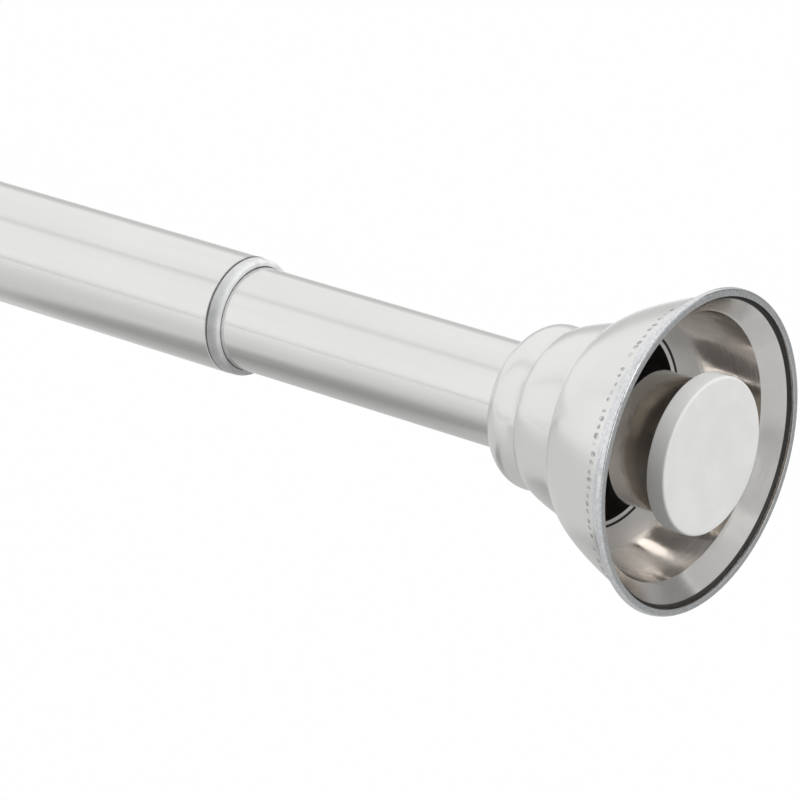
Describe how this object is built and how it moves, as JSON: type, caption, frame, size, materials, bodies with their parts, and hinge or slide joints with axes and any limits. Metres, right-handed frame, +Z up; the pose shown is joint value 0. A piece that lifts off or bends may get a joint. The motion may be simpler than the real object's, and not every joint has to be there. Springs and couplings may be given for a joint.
{
  "type": "spring tension rod",
  "caption": "Telescoping tension rod: satin tubes, stepped bell flanges over flat rubber-faced feet, and a hidden screw and spring that press it between two walls.",
  "frame": {"origin": "centre of the outer tube's foot pad, on the face that meets the wall", "axes": "+X along the rod towards the inner tube's foot, +Z up"},
  "size_m": [0.68, 0.066, 0.066],
  "materials": {
    "tube_metal": "satin silver, fine lengthwise brushing",
    "plated_flange": "moulded and plated, satin outside, brighter nickel inside",
    "plated_cup": "bright nickel plating",
    "foot_rubber": "matte white, non-marking",
    "collar_plastic": "milky grey plastic",
    "nylon": "natural nylon",
    "spring_steel": "oiled spring wire",
    "zinc_steel": "zinc plated"
  },
  "bodies": {
    "outer_rod": {"outer_tube": "tube_metal", "outer_end_cup": "plated_cup", "outer_foot_pad": "foot_rubber", "tube_collar": "collar_plastic", "spring_anchor": "nylon", "tension_spring": "spring_steel"},
    "screw_rod": {"lead_screw": "zinc_steel", "screw_nuts": "zinc_steel", "screw_washers": "zinc_steel", "spring_follower": "nylon"},
    "glide": {"glide_ring": "nylon"},
    "inner_rod": {"inner_tube": "tube_metal", "drive_nut": "nylon", "inner_end_cup": "plated_cup", "inner_foot_pad": "foot_rubber"},
    "inner_bell": {"inner_flange": "plated_flange"},
    "outer_bell": {"outer_flange": "plated_flange"}
  },
  "joints": [
    {"name": "spring_stroke", "type": "slide", "parent": "outer_rod", "child": "screw_rod", "axis": [1, 0, 0], "range_m": [-0.022, 0], "stiffness_N_per_m": 4000, "springref_m": 0.01, "deforming": ["tension_spring"]},
    {"name": "telescope", "type": "slide", "parent": "screw_rod", "child": "glide", "axis": [1, 0, 0], "range_m": [-0.025, 0.286]},
    {"name": "twist", "type": "hinge", "parent": "glide", "child": "inner_rod", "pos_m": [0.2, 0, 0], "axis": [1, 0, 0], "range_deg": [-2250, 25740]},
    {"name": "inner_flange_slide", "type": "slide", "parent": "inner_rod", "child": "inner_bell", "axis": [1, 0, 0], "range_m": [-0.02, 0.0235]},
    {"name": "outer_flange_slide", "type": "slide", "parent": "outer_rod", "child": "outer_bell", "axis": [1, 0, 0], "range_m": [-0.0235, 0.51]}
  ],
  "couplings": [
    {"joint": "telescope", "follows": "twist", "m_per_rad": 0.00063662}
  ]
}
